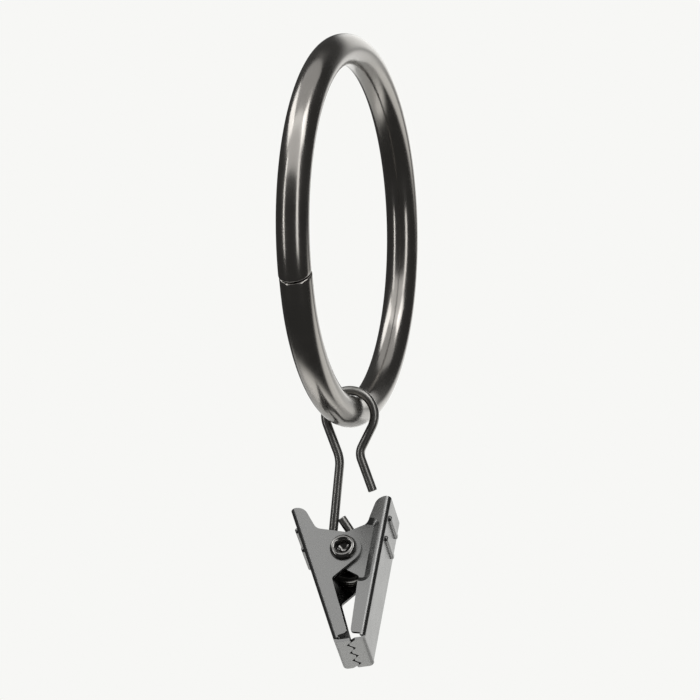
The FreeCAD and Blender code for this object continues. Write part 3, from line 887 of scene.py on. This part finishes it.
@dataclass(frozen=True)
class PaleZone:
    """A round pale zone of the room behind the object: full within its core, gone beyond its reach.

    Its middle is turned and tilted from the line of sight. All four angles are in degrees.
    """

    turn: float
    tilt: float
    core: float
    reach: float
    brightness: float


@dataclass
class Studio:
    """Camera, lamps, floor and room. Lengths are in metres and angles in degrees."""

    azimuth: float = 17.65
    elevation: float = -3.0
    distance: float = 0.58
    view_height: float = 0.108
    sensor: float = 36.0
    sight: tuple[float, float] = (0.01, 20.0)
    backdrop: str = "#f7f7f5"
    floor_drop: float = 0.16
    floor_back: float = 0.5
    floor_radius: float = 0.45
    floor_sides: int = 64
    lit_radius: float = 0.3
    fill: float = 0.28
    room_dark: float = 0.072
    pale_zones: tuple[PaleZone, ...] = (
        PaleZone(0.0, -50.0, 28.0, 43.0, 2.1),
        PaleZone(-20.0, -20.0, 22.0, 36.0, 1.5),
        PaleZone(-20.0, 18.0, 12.0, 22.0, 1.8),
        PaleZone(-60.0, -18.0, 12.0, 22.0, 1.9),
    )
    lamps: tuple[Softbox, ...] = field(default_factory=lambda: (
        Softbox("left_strip", -44.0, 12.0, 0.9, 0.1, 0.8, 1.3),
        Softbox("right_strip", 48.0, 12.0, 0.9, 0.2, 0.8, 1.65),
        Softbox("front_top_box", 0.0, 50.0, 0.9, 1.3, 0.6, 3.7),
        Softbox("left_top_box", -80.0, 47.0, 0.9, 0.6, 0.3, 2.3),
        Softbox("right_top_box", 60.0, 50.0, 0.9, 0.3, 0.4, 1.5),
        Softbox("top_softbox", 0.0, 84.0, 1.2, 1.6, 1.2, 5.5),
    ))

    def place_camera(self, middle: Vector) -> None:
        """Stand the camera where the photograph was taken from and look at the object's middle.

        Args:
            middle: the middle of the object.
        """
        view = bpy.data.cameras.new("product_camera")
        view.sensor_width = self.sensor
        view.dof.use_dof = False
        camera = bpy.data.objects.new("product_camera", view)
        camera.location = direction(self.azimuth, self.elevation) * self.distance
        gaze = middle - camera.location
        view.lens = self.sensor * gaze.length / self.view_height
        view.clip_start, view.clip_end = self.sight
        camera.rotation_euler = gaze.to_track_quat("-Z", "Y").to_euler()
        bpy.context.scene.collection.objects.link(camera)
        bpy.context.scene.camera = camera

    def light_world(self) -> None:
        """Light the room: plain fill for matt surfaces, and for gloss a dark room with pale zones behind.

        Seen straight or through clear surfaces it is the pale backdrop.
        """
        world = bpy.data.worlds.new("pale_room")
        world.use_nodes = True
        tree = world.node_tree
        tree.nodes.clear()
        rays = add_node(tree, "ShaderNodeLightPath")
        coordinates = add_node(tree, "ShaderNodeTexCoord")
        level = None
        for zone in self.pale_zones:
            facing = add_node(tree, "ShaderNodeVectorMath", {"operation": "DOT_PRODUCT"})
            tree.links.new(coordinates.outputs["Generated"], facing.inputs[0])
            facing.inputs[1].default_value = direction(self.azimuth + 180.0 + zone.turn, zone.tilt)
            wall = add_node(tree, "ShaderNodeMapRange",
                            {"interpolation_type": "SMOOTHSTEP",
                             "From Min": math.cos(math.radians(zone.reach)),
                             "From Max": math.cos(math.radians(zone.core)),
                             "To Min": self.room_dark, "To Max": zone.brightness},
                            {"Value": facing.outputs["Value"]})
            lighter = add_node(tree, "ShaderNodeMath", {"operation": "MAXIMUM"})
            tree.links.new(wall.outputs["Result"], lighter.inputs[0])
            lighter.inputs[1].default_value = self.room_dark
            if level is not None:
                tree.links.new(level, lighter.inputs[1])
            level = lighter.outputs[0]
        room = add_node(tree, "ShaderNodeBackground", {"Color": linear(self.backdrop)},
                        {"Strength": level})
        plain = add_node(tree, "ShaderNodeBackground",
                         {"Color": linear(self.backdrop), "Strength": self.fill})
        pale = add_node(tree, "ShaderNodeBackground", {"Color": linear(self.backdrop), "Strength": 1.0})
        gloss = add_node(tree, "ShaderNodeMixShader", links={"Fac": rays.outputs["Is Glossy Ray"]})
        tree.links.new(plain.outputs[0], gloss.inputs[1])
        tree.links.new(room.outputs[0], gloss.inputs[2])
        straight = add_node(tree, "ShaderNodeMath", {"operation": "MAXIMUM"})
        tree.links.new(rays.outputs["Is Camera Ray"], straight.inputs[0])
        tree.links.new(rays.outputs["Is Transmission Ray"], straight.inputs[1])
        seen = add_node(tree, "ShaderNodeMixShader", links={"Fac": straight.outputs[0]})
        tree.links.new(gloss.outputs[0], seen.inputs[1])
        tree.links.new(pale.outputs[0], seen.inputs[2])
        add_node(tree, "ShaderNodeOutputWorld", links={"Surface": seen.outputs[0]})
        bpy.context.scene.world = world

    def lay_floor(self, low: float) -> None:
        """A round pale board below and behind the object, with a soft edge that fades into the backdrop.

        Args:
            low: height of the object's lowest point.
        """
        below = Vector((0, 0, low - self.floor_drop))
        centre = direction(self.azimuth + 180.0, 0.0) * self.floor_back + below
        angle = np.linspace(0, 2 * np.pi, self.floor_sides, endpoint=False)[None, :, None]
        radii = np.array([0.0, self.lit_radius, self.floor_radius])[:, None, None]
        points = np.array(centre) + np.concatenate([radii * np.cos(angle), radii * np.sin(angle),
                                                    0 * radii * angle], axis=-1)
        floor = grid_piece("pale_floor", points)
        material = bpy.data.materials.new("matt_white_board")
        material.use_nodes = True
        tree = material.node_tree
        tree.nodes.clear()
        coordinates = add_node(tree, "ShaderNodeTexCoord")
        away = add_node(tree, "ShaderNodeVectorMath", {"operation": "DISTANCE"},
                        {0: coordinates.outputs["Object"]})
        away.inputs[1].default_value = centre
        fade = add_node(tree, "ShaderNodeMapRange",
                        {"interpolation_type": "SMOOTHSTEP", "From Min": self.lit_radius,
                         "From Max": self.floor_radius}, {"Value": away.outputs["Value"]})
        board = add_node(tree, "ShaderNodeBsdfDiffuse", {"Color": linear(self.backdrop)})
        beyond = add_node(tree, "ShaderNodeBsdfTransparent")
        mixed = add_node(tree, "ShaderNodeMixShader", links={"Fac": fade.outputs["Result"]})
        tree.links.new(board.outputs[0], mixed.inputs[1])
        tree.links.new(beyond.outputs[0], mixed.inputs[2])
        add_node(tree, "ShaderNodeOutputMaterial", links={"Surface": mixed.outputs[0]})
        floor.data.materials.append(material)

    def build(self) -> None:
        """Set up the camera, the lamps, the floor and the room round the object."""
        low, high = (Vector(corner) for corner in CAD_BOX)
        middle = Vector((0.0, 0.0, (low.z + high.z) / 2))
        self.place_camera(middle)
        for lamp in self.lamps:
            lamp.build(middle)
        self.light_world()
        self.lay_floor(low.z)
        bpy.context.scene.view_settings.view_transform = "Standard"


def main() -> None:
    """Build the object and the studio, and report each piece."""
    logging.basicConfig(level=logging.INFO, format="%(name)s: %(message)s")
    rig = Rig.from_frame(frame, EYE_SHIFT_MM)
    makers: tuple[Callable[[Rig], list[bpy.types.Object]], ...] = (
        SteelRing().make, WireHook().make, SprungClip().make)
    for maker in makers:
        for piece in maker(rig):
            LOG.info("%s: %d faces", piece.name, len(piece.data.polygons))
    Studio().build()


if __name__ == "__main__":
    main()
